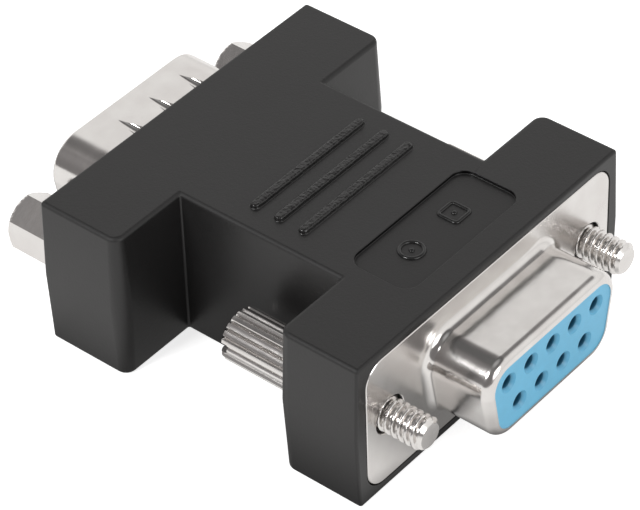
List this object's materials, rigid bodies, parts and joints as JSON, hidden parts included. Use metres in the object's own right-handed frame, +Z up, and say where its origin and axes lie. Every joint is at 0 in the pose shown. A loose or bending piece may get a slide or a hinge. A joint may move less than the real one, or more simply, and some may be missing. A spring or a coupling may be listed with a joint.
{
  "type": "serial extension adapter",
  "caption": "Straight serial extension adapter with a D-shaped socket at one end, a D-shaped plug at the other, captive thumbscrews and hexagonal jack nuts in a waisted black moulding.",
  "frame": {"origin": "centre of the moulding's flat underside, midway between its two end faces", "axes": "+X across the width, -Y out of the socket end, +Y out of the plug end, +Z up through the ribbed top"},
  "size_m": [0.033, 0.0435, 0.0144],
  "materials": {
    "moulding": "satin black moulded plastic",
    "nickel_shell": "bright nickel plating on drawn steel",
    "nickel_turned": "nickel plating on turned brass",
    "blue_insulator": "sky-blue moulded plastic",
    "plug_insulator": "black moulded plastic",
    "inner_mould": "natural moulded plastic",
    "contact_gold": "gold flash on turned brass",
    "tinned_wire": "tinned copper"
  },
  "bodies": {
    "adapter": {"overmould_body": "moulding", "socket_front_shell": "nickel_shell", "socket_rear_shell": "nickel_shell", "socket_insulator": "blue_insulator", "plug_front_shell": "nickel_shell", "plug_rear_shell": "nickel_shell", "plug_insulator": "plug_insulator", "inner_mould": "inner_mould", "jack_nut_left": "nickel_turned", "jack_nut_right": "nickel_turned", "anchor_nut_left": "nickel_turned", "anchor_nut_right": "nickel_turned", "socket_contact_1": "contact_gold", "socket_contact_2": "contact_gold", "socket_contact_3": "contact_gold", "socket_contact_4": "contact_gold", "socket_contact_5": "contact_gold", "socket_contact_6": "contact_gold", "socket_contact_7": "contact_gold", "socket_contact_8": "contact_gold", "socket_contact_9": "contact_gold", "plug_pin_1": "contact_gold", "plug_pin_2": "contact_gold", "plug_pin_3": "contact_gold", "plug_pin_4": "contact_gold", "plug_pin_5": "contact_gold", "plug_pin_6": "contact_gold", "plug_pin_7": "contact_gold", "plug_pin_8": "contact_gold", "plug_pin_9": "contact_gold", "link_wire_1": "tinned_wire", "link_wire_2": "tinned_wire", "link_wire_3": "tinned_wire", "link_wire_4": "tinned_wire", "link_wire_5": "tinned_wire", "link_wire_6": "tinned_wire", "link_wire_7": "tinned_wire", "link_wire_8": "tinned_wire", "link_wire_9": "tinned_wire"},
    "thumbscrew_left_body": {"thumbscrew_left": "nickel_turned"},
    "thumbscrew_right_body": {"thumbscrew_right": "nickel_turned"}
  },
  "joints": [
    {"name": "thumbscrew_left_turn", "type": "hinge", "parent": "adapter", "child": "thumbscrew_left_body", "pos_m": [-0.01249, 0, 0.00705], "axis": [0, 1, 0], "continuous": true},
    {"name": "thumbscrew_right_turn", "type": "hinge", "parent": "adapter", "child": "thumbscrew_right_body", "pos_m": [0.01249, 0, 0.00705], "axis": [0, 1, 0], "continuous": true}
  ]
}
